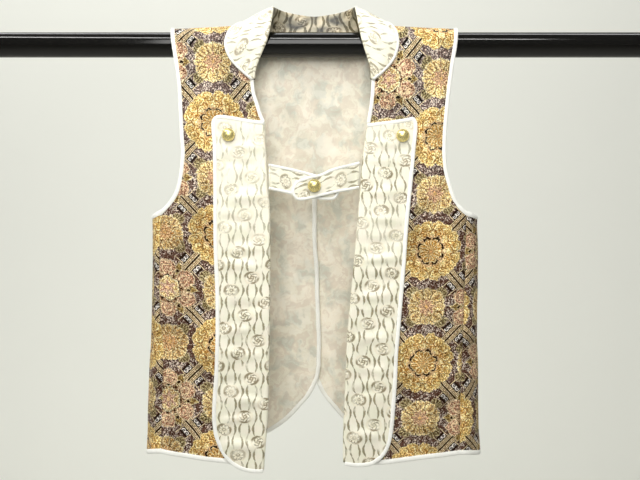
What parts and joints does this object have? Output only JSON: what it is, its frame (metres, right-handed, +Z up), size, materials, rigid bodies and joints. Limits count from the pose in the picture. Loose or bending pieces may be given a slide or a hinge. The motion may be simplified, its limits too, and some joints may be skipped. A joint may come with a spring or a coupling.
{
  "type": "sleeveless kimono vest (jinbaori) on a hanging rod",
  "caption": "Child's sleeveless kimono vest with turned-back lapels, stand-and-fall collar, side gussets, chest tab closure and centre back vent, hung open on a round rod.",
  "frame": {"origin": "on the rod's axis at the middle of the garment, where the rod holds it", "axes": "+Z up, the fronts face -Y, +X runs along the rod towards the wearer's left"},
  "size_m": [0.8, 0.0811, 0.5155],
  "materials": {
    "brocade_gold": "brocade with metallic thread, soft sheen",
    "brocade_cream": "satin ground brocade, soft gloss",
    "lining": "plain weave, blotched in pale tones",
    "binding": "matt bias binding",
    "button_gold": "brushed gold tone",
    "rod": "gloss black"
  },
  "bodies": {
    "root": {"rod": "rod", "front_right": "brocade_gold", "front_left": "brocade_gold", "side_right": "brocade_gold", "side_left": "brocade_gold", "back": "brocade_gold", "back_lining": "lining", "lapel_right": "brocade_cream", "lapel_left": "brocade_cream", "collar": "brocade_cream", "strap_right": "brocade_cream", "strap_left": "brocade_cream", "binding_armhole_right": "binding", "binding_armhole_left": "binding", "binding_neck_right": "binding", "binding_neck_left": "binding", "binding_lapel_right": "binding", "binding_lapel_left": "binding", "binding_hem_right": "binding", "binding_hem_left": "binding", "binding_strap_right": "binding", "binding_strap_left": "binding", "binding_collar": "binding", "button_lapel_right": "button_gold", "button_lapel_left": "button_gold", "button_strap": "button_gold"}
  },
  "joints": []
}
